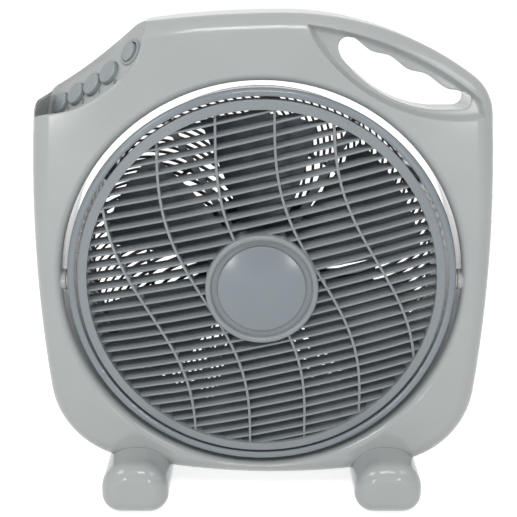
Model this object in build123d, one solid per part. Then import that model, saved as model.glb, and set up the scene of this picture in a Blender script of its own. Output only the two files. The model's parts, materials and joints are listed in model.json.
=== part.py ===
from build123d import *
import os
from math import cos, hypot, pi, radians, sin, sqrt

# Box fan with a tilting drum and a turning louvre. Millimetres, +Z up.
# The floor is Z = 0, the front faces -Y, and X runs to the viewer's right.

# Frame block
axis_height = 220.0          # drum axis above the floor
frame_front = -50.0          # flat front face
frame_depth = 100.0
cover_depth = 20.0           # rear cover, behind the parting line
frame_wall = 3.0
edge_round = 18.0            # soft outer edges, front and back

# Frame outline, measured from the drum axis
half_width = 212.0           # drum axis to the right side
left_half_width = 209.5
widest_height = 25.0
side_radius = 1350.0
bottom_drop = 200.5
bottom_offset = 12.0         # lowest point, right of the axis
bottom_radius = 670.0
top_rise = 242.0
crest_offset = 20.0
top_radius_right = 285.0
top_radius_left = 1000.0
chamfer_start = -107.0       # X where the control corner is cut off
chamfer_slope = 35.0         # degrees
chamfer_sag = 3.4            # how far its middle dips
bottom_corner_round = 86.0
right_corner_round = 46.0
chamfer_top_round = 25.0
chamfer_low_round = 24.0

# Round opening of the frame
lip_radius = 191.0
opening_radius = 185.0
rear_opening_radius = 189.0
lip_depth = 8.0
lip_bulge = 0.37             # share of the lip's width left at a third of its depth
throat_depth = 26.0
flare_length = 8.0
rear_lip = 3.0

# Carry handle: a wavy grip over a through hole, in a leaf-shaped recess
wave_start = (79.0, 219.6)
wave_slope = -25.7
wave_pitch = 36.0
wave_height = 1.7
wave_count = 2.75
grip_right_top = (183.0, 174.0)
grip_right_low = (180.5, 160.6)
grip_floor_end = (150.0, 160.6)
grip_floor_mid = (104.0, 174.5)
grip_left_low = (67.0, 207.0)
grip_left_top = (64.5, 223.5)
grip_rounds = [5.0, 9.0, 8.0, 20.0]    # right top, right low, left top, left low
grip_lean = (0.10, 1.0, -0.085)        # the hole opens to the right and down
grip_lead = 10.0                       # in front of the frame, where the lean starts
leaf_left_tip = (36.0, 234.7)
leaf_crown = (118.9, 212.5)
leaf_shoulder = (194.0, 168.0)
leaf_right_tip = (198.0, 152.0)
leaf_belly = (104.0, 166.5)
leaf_shoulder_round = 14.0
leaf_depth = 8.0
leaf_draft = 30.0

# Control scoop: a flat floor that faces left, forward and up
panel_origin = (-168.2, 42.9, 167.7)   # second button, from the bezel centre
panel_facing = Vector(-0.68, -0.55, 0.48).normalized()
row_towards = Vector(0.73, -0.53, 0.43)
scoop_back = 21.8
scoop_left = -39.7
scoop_lean_back = 0.9        # how far the back wall leans away, per unit of height
scoop_lean_left = 0.45       # and the left end
crease_fall = 0.35           # fall of the crease wall towards the back
scoop_turn = 50.0            # where the back wall swings away past the buttons
scoop_swing = 0.86           # how steeply it swings
scoop_turn_round = 30.0
scoop_left_round = 12.0
scoop_cove = 5.0
scoop_side_wall = 3.3
scoop_end_wall = 3.2         # left standing beside the third button
scoop_reach = 150.0          # well past the frame's corner
crease_points = [
    (-200, 155.6), (-182, 157), (-161, 162), (-140, 173), (-124, 185.4), (-108.2, 204.2), (-101.7, 225.5), (-100.5, 234),
]

# Push buttons and the gang switch behind them
button_radius = 10.5
button_height = 4.3
button_depth = 5.0           # below the control floor
button_travel = 3.5
button_gap = 0.4
button_edge = 1.2
button_lip = 0.85
button_lip_thickness = 1.6
button_places = [(46.3, 2.2), (23.4, 0.0), (0.0, 0.0), (-24.2, 0.0)]   # 0, 1, 2, 3
stem_radius = 3.0
stem_length = 8.0
stem_gap = 0.5
switch_top = 11.0            # below the control floor
switch_height = 22.0
switch_width = 18.0
switch_margin = 13.0
switch_ear = 2.5
switch_posts = [(-12.1, 14.5), (34.5, 14.5)]
switch_post_radius = 3.5
switch_screw_grip = 6.0

# Round rocker switch
rocker_place = (73.0, 12.0)
rocker_flange_radius = 12.4
rocker_flange = 1.4
rocker_barrel_radius = 11.0
rocker_barrel_depth = 14.0
rocker_bore_depth = 10.0
rocker_radius = 8.6
rocker_clearance = 0.9
rocker_axis = -2.0           # hinge below the control floor
rocker_top = 5.0             # above the hinge
rocker_under = 3.0
rocker_edge = 1.0
rocker_rest = 7.0            # tipped to one side, in degrees
rocker_pin_radius = 1.2
rocker_pin_reach = 10.2
dish_radius = 40.0
dish_depth = 0.6

# Drum
bezel_setback = 2.0          # bezel behind the frame's front face
bezel_radius = 179.4
bezel_bore = 172.2
bezel_ridge = 176.2
bezel_ridge_front = -3.0
bezel_inner_front = -2.2
bezel_edge_depth = 1.5
drum_depth = 84.0
drum_rear_radius = 171.0
drum_wall = 2.5
lug_inner = 163.5
lug_width = 9.0
lug_length = 14.0
grille_boss_radius = 4.5
grille_boss_length = 14.0

# Tilt pivots
pivot_depth = 12.0           # tilt axis behind the bezel
pivot_pin_radius = 4.0
pivot_boss_radius = 10.0
pad_proud_of_bezel = 0.2
pin_inset = 1.0
boss_reach = 9.0
washer_radius = 9.0
washer_thickness = 1.2
push_nut_radius = 7.0
push_nut_thickness = 2.0

# Louvre wheel
louvre_turn = 12.8           # how far the slats stand turned, in degrees
louvre_ring_outer = 169.3
louvre_ring_inner = 160.7
ring_front_outer = -4.2
ring_front_inner = -6.0
ring_back = 11.0
slat_pitch = 10.345
slat_offset = -1.39          # middle slat, from the axis
slat_thickness = 1.9
slat_depth = 13.0
slat_lean = 8.5
slat_run = 40.0              # length of one straight run of a slat's front edge
slat_runs_least = 3
dome_crest = -16.5
dome_radius = 933.0
ribs_each_side = 2
rib_spacing = 53.5
rib_thickness = 2.2
rib_drift = 0.0536
rib_swing = 13.3
rib_period = 300.0
rib_sample = 100.0           # height at which a rib is matched to the dome
slat_root_outer = 164.0      # slats run into the ring and the hub wall
slat_root_inner = 50.2
hub_radius = 51.4
hub_wall = 3.6
hub_back = 4.0
hub_rim_width = 5.4
hub_rim_front = -20.6
hub_plate_front = -14.6
hub_plate_thickness = 2.2
hub_boss_radius = 8.0
hub_boss_length = 7.4
cap_radius = 40.4
cap_edge = -17.4
cap_crest = -21.4
cap_wall = 2.0
cap_edge_round = 1.4
louvre_shaft_radius = 3.5
louvre_shaft_end = 2.0
louvre_screw_head = 4.8

# Front spider and louvre motor
spider_front = 14.0
spider_thickness = 4.0
arm_width = 6.0
arm_angles = [60.0, 120.0, 240.0, 300.0]
arm_ear_radius = 4.5
spider_hub_radius = 36.0
spider_screw_circle = 167.0
louvre_motor_radius = 25.0
louvre_motor_front = -6.0
louvre_motor_round = 1.5
louvre_ear_place = 29.5
louvre_ear_radius = 4.5
louvre_ear_thickness = 2.0

# Fan motor
motor_radius = 46.0
motor_edge_round = 6.0
front_bracket_face = 42.0
bracket_wall = 2.5
stator_radius = 45.0
stator_front = 54.0
stator_back = 72.0
stator_bore = 24.4
rotor_radius = 24.0
winding_outer = 37.0
winding_inner = 27.0
winding_length = 7.0
winding_round = 2.1
shaft_radius = 4.0
shaft_front = 20.7
shaft_back = 83.0
bearing_radius = 8.0
bearing_length = 7.5
bearing_housing_radius = 11.0
bearing_nose = 4.0           # how far the front housing stands out of its bracket
bolt_count = 4
bolt_circle = 41.0
bolt_radius = 1.8

# Impeller
blade_count = 6
blade_first = 28.0           # degrees round from the right-hand side
blade_tip = 152.0
blade_thickness = 2.0
blade_camber = 0.06
# Blade sections: distance out, chord, pitch in degrees, middle depth, sweep
blade_root = (31.5, 26.0, 20.0, 30.5, 0.0)
blade_middle = (92.0, 80.0, 23.0, 41.5, 4.0)
blade_end = (156.0, 124.0, 18.0, 44.0, 12.0)
impeller_front = 24.0
impeller_back = 39.0
impeller_hub_radius = 34.0
impeller_hub_wall = 3.0
impeller_hub_edge = 2.5
impeller_boss_radius = 9.0
impeller_boss_back = 37.0
drive_pin_radius = 1.2
drive_pin_depth = 31.0
drive_pin_reach = 7.0
nut_radius = 14.0
nut_front = 19.4
nut_edge = 2.5

# Rear grille and motor cover
grille_thickness = 4.0
grille_rib = 3.0
slot_curve = 1.3             # how the slots' lean grows on the way out
# Slot zones: inner and outer radius, slots, lean in degrees
grille_zones = [(66.0, 112.0, 72, 11.0), (115.5, 167.5, 120, 17.0)]
grille_screw_circle = 166.0
grille_screw_count = 6
grille_screw_first = 30.0    # degrees round from the right-hand side
grille_screw_land = 7.0      # solid left round each grille screw
cover_radius = 58.0
cover_rise = 8.0
cover_wall = 2.0
cover_round = 5.0
cover_screw_count = 3
cover_screw_circle = 50.0
cover_screw_first = 90.0
cover_screw_sink = 1.0
cover_post_radius = 4.2
vent_count = 10
vent_inner = 14.0
vent_outer = 36.0
vent_width = 3.2

# Feet
foot_offset = 120.3
foot_width = 63.5
foot_top = 53.0
foot_length = 184.0
foot_top_round = 28.0
foot_low_round = 18.0
foot_nose_round = 16.0
pad_radius = 9.0
pad_thickness = 3.0
pad_proud = 1.5
pad_edge = 0.6
pad_spread = 58.0
foot_screw_spread = 15.0
foot_screw_radius = 2.0
foot_head_radius = 4.0
foot_screw_seat = 22.0
foot_post_radius = 6.0
foot_post_bottom = 27.0
foot_post_top = 57.0

# Fasteners and fits
screw_radius = 1.6
screw_head_radius = 3.4
screw_head_height = 2.4
recess_span = 1.2            # cross recess, as shares of the head's radius
recess_width = 0.3
screw_clearance = 0.1
head_clearance = 0.4
press_clearance = 0.02
running_clearance = 0.05
seat_gap = 0.3
frame_screw_places = [(-152, -152), (152, -152), (-195.5, 40), (199, 40), (-58, 217), (22, 219)]
frame_post_radius = 5.5
frame_screw_grip = 22.0      # thread in the front frame
counterbore_depth = 8.0

# Electrical pieces
capacitor_size = (38.0, 20.0, 24.0)
capacitor_place = (-18.0, 210.0)
capacitor_round = 3.0
gland_radius = 5.5
gland_bore = 3.5
gland_flange_radius = 7.5
gland_flange = 2.0
gland_length = 12.0
gland_setback = 55.0         # behind the frame's front face

frame_back = frame_front + frame_depth
parting = frame_back - cover_depth
bezel_y = frame_front + bezel_setback
pad_outer = bezel_radius + pad_proud_of_bezel
boss_inner = pad_outer + 2 * seat_gap + washer_thickness
boss_outer = opening_radius + frame_wall + boss_reach
spider_back = spider_front + spider_thickness
grille_back = drum_depth + grille_thickness
cover_screw_seat = grille_back + cover_rise - screw_head_height - cover_screw_sink
past = 1.0                   # how far a cut runs past the face it opens
full_turn = 360.0


def front_view(depth, height=0.0):
    """A plane seen from the front at a depth: local X is X and local Y is Z."""
    return Plane(origin=(0, depth, height), x_dir=(1, 0, 0), z_dir=(0, -1, 0))


def on_axis(shape):
    """Moves a shape modelled about the drum axis to its place; its Y is the depth behind the bezel."""
    return Pos(0, bezel_y, axis_height) * shape


def turned(*outline):
    """A body of revolution about the depth axis, from (radius, depth) points or from edges."""
    edges = Polyline(*outline, close=True) if isinstance(outline[0], tuple) else list(outline)
    return revolve(make_face(edges), Axis.Y)


def rod(radius, start, end, x=0.0, z=0.0):
    """A round bar along the depth axis."""
    return Pos(x, (start + end) / 2, z) * Rot(90, 0, 0) * Cylinder(radius, end - start)


def tube(outer, inner, start, end):
    """A ring along the depth axis."""
    return rod(outer, start, end) - rod(inner, start - past, end + past)


def cross_bar(radius, start, end, y, z):
    """A round bar along X."""
    return Pos((start + end) / 2, y, z) * Rot(0, 90, 0) * Cylinder(radius, end - start)


def post(radius, low, high):
    """A round bar along Z between two heights."""
    return Pos(0, 0, (low + high) / 2) * Cylinder(radius, high - low)


def around(count, radius, first=0.0):
    """Points on a circle, as (x, z)."""
    turns = [radians(first + full_turn * i / count) for i in range(count)]
    return [(radius * cos(t), radius * sin(t)) for t in turns]


def prism(face, start, end):
    """Carries a front-view outline, measured from the drum axis, from one Y to another."""
    return extrude(front_view(start, axis_height) * face, amount=end - start, dir=(0, 1, 0))


def rounded(face, corners):
    """Rounds named corners of a flat face: a list of (point, radius)."""
    for point, radius in corners:
        corner = face.vertices().sort_by_distance((point[0], point[1], 0))[0]
        face = fillet(corner, radius)
    return face


def screw(length, radius=screw_radius, head=screw_head_radius, height=screw_head_height):
    """A pan-head screw along Y: head behind Y = 0, shank in front, with a cross recess."""
    body = rod(radius, -length, 0) + rod(head, 0, height)
    long_side, short_side = head * recess_span, head * recess_width
    recess = Box(long_side, height, short_side) + Box(short_side, height, long_side)
    return body - Pos(0, height, 0) * recess


def upward(shape):
    """Turns a shape modelled along Y so that its shank points up."""
    return Rot(-90, 0, 0) * shape


def forward_head(shape):
    """Turns a screw so that its head faces the front."""
    return Rot(0, 0, 180) * shape


def circle_crossing(centre_a, radius_a, centre_b, radius_b, near):
    """The crossing of two circles that lies nearer to a point."""
    dx, dz = centre_b[0] - centre_a[0], centre_b[1] - centre_a[1]
    gap = hypot(dx, dz)
    along = (gap**2 + radius_a**2 - radius_b**2) / (2 * gap)
    across = sqrt(radius_a**2 - along**2)
    mid = (centre_a[0] + along * dx / gap, centre_a[1] + along * dz / gap)
    sides = [(mid[0] - s * across * dz / gap, mid[1] + s * across * dx / gap) for s in (1, -1)]
    return min(sides, key=lambda p: hypot(p[0] - near[0], p[1] - near[1]))


def arc_through(points):
    """The arc through three (depth, height) points, carried on past the outer two."""
    (d0, z0), (d1, z1), (d2, z2) = points
    curve = ((d2 - d1) / (z2 - z1) - (d1 - d0) / (z1 - z0)) / (z2 - z0)
    slope = (d2 - d0) / (z2 - z0)
    ends = [(d1 + slope * z + curve * z**2, z) for z in (-louvre_ring_outer, 0, louvre_ring_outer)]
    return ThreePointArc(*ends)


def line_crossing(start, run, centre, radius):
    """Where a line that sets out inside a circle leaves it."""
    away = (start.X - centre[0], start.Y - centre[1])
    half_b = run.X * away[0] + run.Y * away[1]
    reach = -half_b + sqrt(half_b**2 - (away[0]**2 + away[1]**2 - radius**2))
    return start.X + reach * run.X, start.Y + reach * run.Y


def arc_about(centre, start, end):
    """The shorter arc about a centre."""
    radius = hypot(start[0] - centre[0], start[1] - centre[1])
    middle = Vector((start[0] + end[0]) / 2 - centre[0], (start[1] + end[1]) / 2 - centre[1]).normalized()
    return ThreePointArc(start, (centre[0] + radius * middle.X, centre[1] + radius * middle.Y), end)


right_side_centre = (half_width - side_radius, widest_height)
left_side_centre = (side_radius - left_half_width, widest_height)
bottom_centre = (bottom_offset, bottom_radius - bottom_drop)


def frame_outline(inset):
    """Bulging sides, convex bottom, a top that falls to the right and a cut-off control corner."""
    side, bottom = side_radius - inset, bottom_radius - inset
    right, left = top_radius_right - inset, top_radius_left - inset
    right_top = (crest_offset, top_rise - top_radius_right)
    left_top = (crest_offset, top_rise - top_radius_left)
    crest = (crest_offset, top_rise - inset)
    chamfer_rise = sqrt(top_radius_left**2 - (chamfer_start - crest_offset)**2)
    run = Vector(cos(radians(chamfer_slope)), sin(radians(chamfer_slope)))
    start = Vector(chamfer_start, left_top[1] + chamfer_rise) + Vector(run.Y, -run.X) * inset
    chamfer_top = line_crossing(start, run, left_top, left)
    chamfer_low = line_crossing(start, run * -1, left_side_centre, side)
    right_corner = circle_crossing(right_top, right, right_side_centre, side, (half_width, top_rise))
    low_right = circle_crossing(bottom_centre, bottom, right_side_centre, side, (half_width, -bottom_drop))
    low_left = circle_crossing(bottom_centre, bottom, left_side_centre, side, (-half_width, -bottom_drop))
    dip = (Vector(*chamfer_low) + Vector(*chamfer_top)) * 0.5 + Vector(run.Y, -run.X) * chamfer_sag
    face = make_face([
        arc_about(right_top, crest, right_corner),
        arc_about(right_side_centre, right_corner, low_right),
        arc_about(bottom_centre, low_right, low_left),
        arc_about(left_side_centre, low_left, chamfer_low),
        ThreePointArc(chamfer_low, (dip.X, dip.Y), chamfer_top),
        arc_about(left_top, chamfer_top, crest),
    ])
    return rounded(face, [
        (right_corner, right_corner_round - inset),
        (low_right, bottom_corner_round - inset),
        (low_left, bottom_corner_round - inset),
        (chamfer_low, chamfer_low_round - inset),
        (chamfer_top, chamfer_top_round - inset),
    ])


def frame_block(inset=0.0):
    """The whole frame as a soft-edged block; an inset gives the space inside its walls."""
    block = prism(frame_outline(inset), frame_front + inset, frame_back - inset)
    ends = block.faces().sort_by(Axis.Y)
    return fillet(ends[0].edges() + ends[-1].edges(), edge_round - inset)


def opening_core(wall=0.0):
    """What the round opening takes out: rolled lip, straight throat, wider rear."""
    lip = lip_radius + wall
    throat = opening_radius + wall
    rear = rear_opening_radius + wall
    back = frame_depth + past
    core = turned(
        Polyline((0, -past), (lip + past, -past), (lip, 0)),
        ThreePointArc((lip, 0), (throat + lip_bulge * (lip - throat), lip_depth / 3), (throat, lip_depth)),
        Polyline(
            (throat, lip_depth), (throat, throat_depth), (rear, throat_depth + flare_length),
            (rear, frame_depth - rear_lip), (rear + rear_lip, back), (0, back), (0, -past)),
    )
    return Pos(0, frame_front, axis_height) * core


def grip_hole(wall=0.0):
    """The hole under the grip: a cosine of finger waves above, a long arc below."""
    slope = radians(wave_slope)
    along = Vector(cos(slope), sin(slope)) * wall
    across = Vector(-sin(slope), cos(slope)) * wall
    points = []
    for i in range(round(4 * wave_count) + 1):
        run = i * wave_pitch / 4
        lift = wave_height * cos(2 * pi * run / wave_pitch) + wall
        x = wave_start[0] + run * cos(slope) - lift * sin(slope)
        z = wave_start[1] + run * sin(slope) + lift * cos(slope)
        points.append((x, z))
    right_top = Vector(*grip_right_top) + along + across
    right_low = Vector(*grip_right_low) + along - across
    floor_end = Vector(*grip_floor_end) - across
    floor_mid = Vector(*grip_floor_mid) - across
    left_low = Vector(*grip_left_low) - along - across
    left_top = Vector(*grip_left_top) - along + across
    face = make_face([
        Spline(*points),
        Polyline(points[-1], right_top, right_low, floor_end),
        ThreePointArc(floor_end, floor_mid, left_low),
        Polyline(left_low, left_top, points[0]),
    ])
    corners = [right_top, right_low, left_top, left_low]
    return rounded(face, [((c.X, c.Y), r + wall) for c, r in zip(corners, grip_rounds)])


def grip_tunnel(wall=0.0):
    """The hole's outline carried along its lean: it widens the straight hole towards the back."""
    start = frame_front - grip_lead
    length = (frame_depth + grip_lead + past) * Vector(*grip_lean).length
    return extrude(front_view(start, axis_height) * grip_hole(wall), amount=length, dir=grip_lean)


def leaf_outline():
    """The leaf-shaped recess round the hole."""
    face = make_face([
        ThreePointArc(leaf_left_tip, leaf_crown, leaf_shoulder),
        Line(leaf_shoulder, leaf_right_tip),
        ThreePointArc(leaf_right_tip, leaf_belly, leaf_left_tip),
    ])
    return rounded(face, [(leaf_shoulder, leaf_shoulder_round)])


def leaf_recesses():
    """Sloped recesses on the front and the back of the handle."""
    leaf = leaf_outline()
    front = front_view(frame_front, axis_height) * leaf
    back = front_view(frame_back, axis_height) * leaf
    return [
        extrude(front, amount=leaf_depth, dir=(0, 1, 0), taper=leaf_draft),
        extrude(back, amount=leaf_depth, dir=(0, -1, 0), taper=leaf_draft),
    ]


def panel_plane():
    """The control floor: local X along the row of buttons, local Z out of the floor."""
    along = (row_towards - panel_facing * row_towards.dot(panel_facing)).normalized()
    place = (panel_origin[0], bezel_y + panel_origin[1], axis_height + panel_origin[2])
    return Plane(origin=place, x_dir=along, z_dir=panel_facing)


def scoop_core(wall=0.0):
    """What the control scoop takes out of the frame's corner."""
    back = scoop_back + wall
    left = scoop_left - wall
    far_back = back + scoop_swing * (scoop_reach - scoop_turn)
    floor = make_face(Polyline(
        (left, -scoop_reach), (scoop_reach, -scoop_reach), (scoop_reach, far_back),
        (scoop_turn, back), (left, back), close=True))
    floor = rounded(floor, [
        ((scoop_turn, back), scoop_turn_round - wall), ((left, back), scoop_left_round + wall),
    ])
    body = extrude(floor, amount=scoop_reach + wall, dir=(-scoop_lean_left, scoop_lean_back, 1))
    low_edges = body.faces().sort_by(Axis.Z)[0].edges()
    body = panel_plane() * Pos(0, 0, -wall) * fillet(low_edges, scoop_cove + wall)
    slip = scoop_side_wall if wall else 0.0
    crease = [(x + slip, z - slip) for x, z in crease_points]
    first, last = crease[0], crease[-1]
    outside_x, outside_z = first[0] - scoop_reach, last[1] + scoop_reach
    outside = [(last[0], outside_z), (outside_x, outside_z), (outside_x, first[1])]
    side = make_face([Spline(*crease), Polyline(last, *outside, first)])
    front = front_view(frame_front - past, axis_height + crease_fall * past)
    body &= extrude(front * side, amount=2 * frame_depth, dir=(0, 1, -crease_fall))
    end = Pos(*left_side_centre) * Circle(side_radius - scoop_end_wall + wall)
    return body & prism(end, frame_front - past, frame_back + past)


def gland_plane():
    """Where the mains lead would enter: square to the lower left corner."""
    centre = circle_crossing(
        bottom_centre, bottom_radius - bottom_corner_round,
        left_side_centre, side_radius - bottom_corner_round, (-half_width, -bottom_drop))
    outward = Vector(-1, 0, -1).normalized()
    place = Vector(centre[0], frame_front + gland_setback, axis_height + centre[1])
    return Plane(origin=place + outward * bottom_corner_round, x_dir=(0, 1, 0), z_dir=outward)


def pivot_bosses():
    """Solid bosses on the frame's bore for the drum's pivot pins."""
    y = bezel_y + pivot_depth
    right = cross_bar(pivot_boss_radius, boss_inner, boss_outer, y, axis_height)
    return [right, mirror(right, about=Plane.YZ)]


def foot_screw_lines():
    """Where the feet are screwed on, as (x, y)."""
    spread = (-foot_screw_spread, foot_screw_spread)
    return [(x, y) for x in (-foot_offset, foot_offset) for y in spread]


def frame_room():
    """The hollow between the frame's walls, clear of every boss and post in it."""
    panel = panel_plane()
    leaf = leaf_outline()
    leaf_reach = leaf_depth + frame_wall
    room = frame_block(frame_wall)
    room -= opening_core(frame_wall)
    handle = grip_tunnel(frame_wall)
    handle += prism(leaf, frame_front, frame_front + leaf_reach)
    handle += prism(leaf, frame_back - leaf_reach, frame_back)
    room -= handle
    room -= prism(grip_hole(frame_wall), frame_front, frame_back)
    room -= scoop_core(frame_wall)
    for x, z in frame_screw_places:
        room -= rod(frame_post_radius, frame_front, frame_back, x, axis_height + z)
    for x, y in foot_screw_lines():
        room -= Pos(x, y, 0) * post(foot_post_radius, foot_post_bottom, foot_post_top)
    for u, v in switch_posts:
        room -= panel * Pos(u, v, 0) * post(switch_post_radius, -switch_top, 0)
    for boss in pivot_bosses():
        room -= boss
    return room


def frame_shells():
    """Front frame and rear cover: a hollow block with its opening, handle, scoop and screw holes."""
    panel = panel_plane()
    shell = frame_block() - frame_room()
    shell -= opening_core()
    shell -= prism(grip_hole(), frame_front - past, frame_back + past)
    shell -= grip_tunnel()
    for recess in leaf_recesses():
        shell -= recess
    shell -= scoop_core()
    for boss in pivot_bosses():
        shell += boss
    hole = screw_radius + screw_clearance
    head_room = screw_head_radius + head_clearance
    for x, z in frame_screw_places:
        z += axis_height
        shell -= rod(hole, parting - frame_screw_grip, frame_back + past, x, z)
        shell -= rod(head_room, frame_back - counterbore_depth, frame_back + past, x, z)
    foot_hole = foot_screw_radius + screw_clearance
    for x, y in foot_screw_lines():
        shell -= Pos(x, y, 0) * post(foot_hole, 0, foot_post_top - frame_wall)
    pin_hole = cross_bar(
        pivot_pin_radius + press_clearance, boss_inner - past, boss_outer + past,
        bezel_y + pivot_depth, axis_height)
    shell -= pin_hole
    shell -= mirror(pin_hole, about=Plane.YZ)
    through = 2 * frame_wall
    for u, v in button_places:
        shell -= panel * Pos(u, v, 0) * post(button_radius + button_gap, -through, button_height + through)
    for u, v in switch_posts:
        shell -= panel * Pos(u, v, 0) * post(hole, -switch_top - past, switch_screw_grip - switch_top)
    shell -= panel * Pos(*rocker_place, 0) * post(rocker_barrel_radius + screw_clearance, -through, through)
    shell -= gland_plane() * post(gland_radius + screw_clearance, -gland_length, gland_flange)
    span = 4 * half_width
    rear_half = Pos(0, parting + span / 2, axis_height) * Box(span, span, span)
    return shell - rear_half, shell & rear_half


def frame_screws():
    """Six screws that hold the rear cover on."""
    seat = frame_back - counterbore_depth
    length = seat - parting + frame_screw_grip - past
    return [Pos(x, seat, axis_height + z) * screw(length) for x, z in frame_screw_places]


def foot(side):
    """A bluff foot whose saddle wraps the frame's lower edge."""
    height = foot_top - pad_proud
    half = foot_width / 2
    section = rounded(Rectangle(foot_width, height), [
        ((-half, height / 2), foot_top_round), ((half, height / 2), foot_top_round),
        ((-half, -height / 2), foot_low_round), ((half, -height / 2), foot_low_round),
    ])
    body = extrude(front_view(-foot_length / 2) * section, amount=foot_length, dir=(0, 1, 0))
    ends = body.faces().sort_by(Axis.Y)
    body = fillet(ends[0].edges() + ends[-1].edges(), foot_nose_round)
    body = Pos(side * foot_offset, 0, pad_proud + height / 2) * body - frame_block()
    for y in (-foot_screw_spread, foot_screw_spread):
        place = Pos(side * foot_offset, y, 0)
        body -= place * post(foot_screw_radius + screw_clearance, 0, foot_top)
        body -= place * post(foot_head_radius + head_clearance, 0, foot_screw_seat)
    for y in (-pad_spread, pad_spread):
        body -= Pos(side * foot_offset, y, 0) * post(pad_radius, 0, pad_thickness)
    return body


def foot_pads():
    """Rubber discs let into the feet."""
    pad = post(pad_radius, 0, pad_thickness)
    pad = fillet(pad.edges().sort_by(Axis.Z)[0], pad_edge)
    spread = (-pad_spread, pad_spread)
    return [Pos(x, y, 0) * pad for x in (-foot_offset, foot_offset) for y in spread]


def foot_screws():
    """Two screws up through each foot into the frame's posts."""
    length = foot_post_top - frame_wall - foot_screw_seat - past
    one = upward(screw(length, foot_screw_radius, foot_head_radius))
    return [Pos(x, y, foot_screw_seat) * one for x, y in foot_screw_lines()]


def pivot_pin():
    """The right-hand pin the drum tilts on."""
    start = bezel_bore + pin_inset + seat_gap
    end = boss_outer + 2 * push_nut_thickness
    return cross_bar(pivot_pin_radius, start, end, bezel_y + pivot_depth, axis_height)


def pivot_ring(radius, start, thickness):
    """A ring on each pivot pin."""
    y = bezel_y + pivot_depth
    right = cross_bar(radius, start, start + thickness, y, axis_height)
    bore = pivot_pin_radius + press_clearance
    right -= cross_bar(bore, start - past, start + thickness + past, y, axis_height)
    return [right, mirror(right, about=Plane.YZ)]


def speed_button(index):
    """A round push button with a lip that holds it under the floor, and its stem."""
    cap = post(button_radius, -button_depth, button_height)
    cap = fillet(cap.edges().sort_by(Axis.Z)[-1], button_edge)
    cap += post(button_radius + button_lip, -button_depth, button_lip_thickness - button_depth)
    cap += post(stem_radius, -button_depth - stem_length, -button_depth)
    return panel_plane() * Pos(*button_places[index], 0) * cap


def switch_block():
    """The gang switch behind the buttons, hung on two posts."""
    first = button_places[-1][0] - switch_margin
    last = button_places[0][0] + switch_margin
    middle = sum(v for u, v in button_places) / len(button_places)
    body = Pos((first + last) / 2, middle, -switch_top - switch_height / 2)
    body = body * Box(last - first, switch_width, switch_height)
    ear_width = 2 * (switch_post_radius + past)
    for u, v in switch_posts:
        ear_reach = v + switch_post_radius
        body += Pos(u, ear_reach / 2, -switch_top - switch_ear / 2) * Box(ear_width, ear_reach, switch_ear)
        body -= Pos(u, v, 0) * post(screw_radius + screw_clearance, -switch_top - 2 * switch_ear, 0)
    stem_room = button_depth + stem_length + button_travel + past
    for u, v in button_places:
        body -= Pos(u, v, 0) * post(stem_radius + stem_gap, -stem_room - button_travel, 0)
    return panel_plane() * body


def switch_screws():
    """Screws through the switch's ears into the posts."""
    one = upward(screw(switch_ear + switch_screw_grip - past))
    return [panel_plane() * Pos(u, v, -switch_top - switch_ear) * one for u, v in switch_posts]


def rocker_body():
    """Flanged barrel of the round rocker switch."""
    flange = post(rocker_flange_radius, 0, rocker_flange)
    flange = fillet(flange.edges().sort_by(Axis.Z)[-1], rocker_flange / 2)
    body = post(rocker_barrel_radius, -rocker_barrel_depth, 0) + flange
    body -= post(rocker_radius + rocker_clearance, -rocker_bore_depth, rocker_flange + past)
    pin_room = 2 * (rocker_pin_reach + seat_gap)
    pin_bore = Cylinder(rocker_pin_radius + running_clearance, pin_room)
    body -= Pos(0, 0, rocker_axis) * Rot(90, 0, 0) * pin_bore
    return panel_plane() * Pos(*rocker_place, 0) * body


def rocker():
    """The rocker's dished paddle on its pin, tipped to one side."""
    paddle = post(rocker_radius, -rocker_under, rocker_top)
    paddle = fillet(paddle.edges().sort_by(Axis.Z)[-1], rocker_edge)
    dish = Pos(0, 0, rocker_top + dish_radius - dish_depth) * Rot(90, 0, 0)
    paddle -= dish * Cylinder(dish_radius, 4 * rocker_radius)
    paddle += Rot(90, 0, 0) * Cylinder(rocker_pin_radius, 2 * rocker_pin_reach)
    return panel_plane() * Pos(*rocker_place, rocker_axis) * Rot(0, -rocker_rest, 0) * paddle


def run_capacitor():
    """Box capacitor on the inside of the front wall."""
    width, depth, height = capacitor_size
    can = fillet(Box(width, depth, height).edges().filter_by(Axis.Y), capacitor_round)
    x, z = capacitor_place
    return Pos(x, frame_front + frame_wall + depth / 2, axis_height + z) * can


def cord_gland():
    """Flanged bush where the mains lead would enter."""
    flange = post(gland_flange_radius, 0, gland_flange)
    flange = fillet(flange.edges().sort_by(Axis.Z)[-1], gland_flange / 2)
    bush = post(gland_radius, -gland_length, 0) + flange
    return gland_plane() * (bush - post(gland_bore, -gland_length - past, gland_flange + past))


def drum_radius(depth):
    """The drum's outside narrows steadily from the bezel to the rear."""
    share = (depth - bezel_edge_depth) / (drum_depth - bezel_edge_depth)
    return bezel_radius + share * (drum_rear_radius - bezel_radius)


def arm_ends():
    """Where the spider's arms are screwed on, as (x, z)."""
    turns = [radians(angle) for angle in arm_angles]
    return [(spider_screw_circle * cos(t), spider_screw_circle * sin(t)) for t in turns]


def grille_screw_places():
    """Where the rear grille is screwed on, as (x, z)."""
    return around(grille_screw_count, grille_screw_circle, grille_screw_first)


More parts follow.
